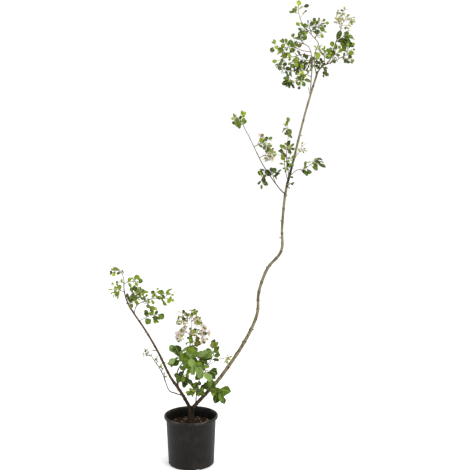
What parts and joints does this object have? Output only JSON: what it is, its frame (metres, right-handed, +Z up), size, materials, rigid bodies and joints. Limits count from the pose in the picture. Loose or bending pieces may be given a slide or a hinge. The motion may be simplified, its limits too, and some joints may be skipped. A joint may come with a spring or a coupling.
{
  "type": "potted flowering shrub",
  "caption": "Young, open flowering shrub in a round dark nursery pot: one tall crooked stem, one short leaning stem, airy tufts of small leaves and a pale flower spray near the foot.",
  "frame": {"origin": "middle of the pot's flat underside, on the floor", "axes": "+Z up; -Y is the front, as pictured; the tall stem leans towards +X and the short stem towards -X"},
  "size_m": [0.7278, 0.2027, 1.3905],
  "materials": {
    "pot_plastic": "matte, slightly dusty",
    "bark_mix": "loose, dull",
    "bark": "dull",
    "foliage": "satin leaves"
  },
  "bodies": {
    "root": {"pot": "pot_plastic", "potting_mix": "bark_mix", "trunk": "bark", "long_stem_lower": "bark", "long_stem_middle": "bark", "long_stem_upper": "bark", "left_stem": "bark", "left_arch": "bark", "thin_stem": "bark", "flower_stem": "bark", "low_right_stem": "bark", "mid_left_bough": "bark", "crown_left_bough": "bark", "crown_middle_bough": "bark", "crown_right_bough": "bark", "crown_upper_right_bough": "bark", "tip_spray": "foliage", "upper_left_tuft": "foliage", "bud_tuft": "foliage", "right_panicle": "foliage", "upper_right_tuft": "foliage", "right_tuft": "foliage", "right_inner_tuft": "foliage", "middle_tuft": "foliage", "hanging_tuft": "foliage", "left_upper_tuft": "foliage", "far_left_tuft": "foliage", "left_middle_tuft": "foliage", "inner_left_tuft": "foliage", "left_low_tuft": "foliage", "lowest_tuft": "foliage", "back_tuft": "foliage", "mid_tip_tuft": "foliage", "mid_blossom_upper": "foliage", "mid_blossom_lower": "foliage", "mid_low_left_tuft": "foliage", "mid_low_tuft": "foliage", "mid_upright_twig": "foliage", "mid_inner_tuft": "foliage", "mid_right_tuft": "foliage", "mid_bud_twig": "foliage", "left_tip_tuft": "foliage", "left_top_tuft": "foliage", "left_outer_tuft": "foliage", "left_inner_tuft": "foliage", "left_front_tuft": "foliage", "left_arch_end": "foliage", "left_low_twig": "foliage", "thin_twig_leaves": "foliage", "base_panicle": "foliage", "base_whorl": "foliage", "base_left_leaves": "foliage", "base_right_leaves": "foliage", "base_low_leaves": "foliage", "right_shoot_leaves": "foliage", "right_shoot_low_leaves": "foliage", "right_bud_twig": "foliage", "right_low_twig": "foliage", "base_front_leaves": "foliage"}
  },
  "joints": []
}
